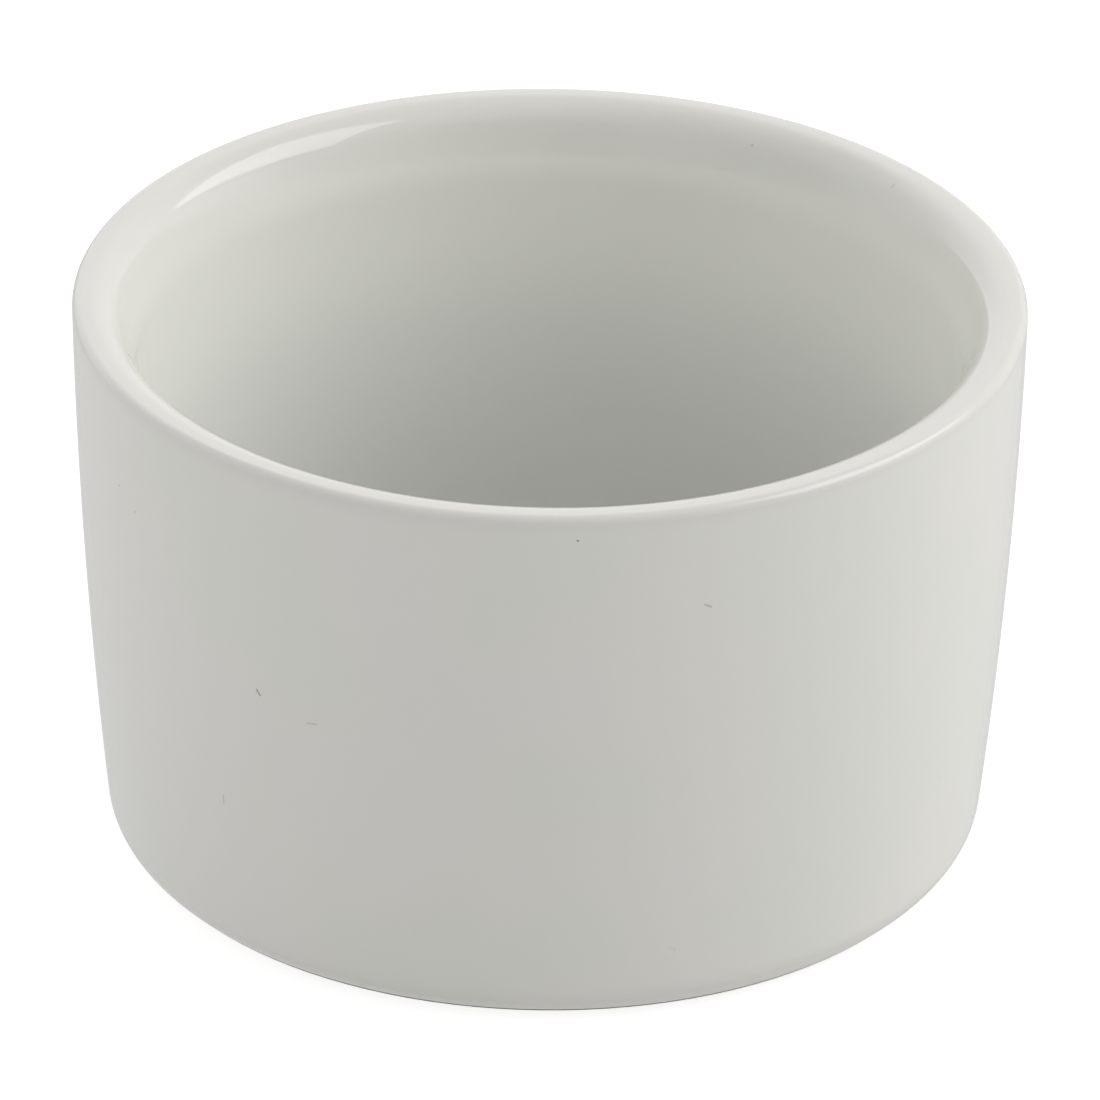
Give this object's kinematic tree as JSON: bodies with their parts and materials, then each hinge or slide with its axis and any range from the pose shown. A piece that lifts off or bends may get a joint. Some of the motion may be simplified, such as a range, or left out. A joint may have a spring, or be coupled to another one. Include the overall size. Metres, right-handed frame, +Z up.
{
  "type": "ramekin",
  "caption": "Straight-sided round ramekin in glazed porcelain: a small baking dish with a narrow rim that rounds softly into the bowl, and a bare foot ring round a shallow recess.",
  "frame": {"origin": "centre of the foot ring's standing face, on the vessel's axis; the foot stands on Z = 0", "axes": "+Z up along the vessel's axis of revolution, towards the rim; X and Y are any pair across it, with -Y towards the picture's camera"},
  "size_m": [0.075, 0.075, 0.046],
  "materials": {
    "biscuit_porcelain": "matt, unglazed, fine-grained",
    "clear_glaze": "gloss, cool greenish white",
    "recess_glaze": "gloss, slightly thinner and duller than on the walls"
  },
  "bodies": {
    "root": {"porcelain_body": "biscuit_porcelain", "glaze_coat": "clear_glaze", "base_glaze": "recess_glaze"}
  },
  "joints": []
}
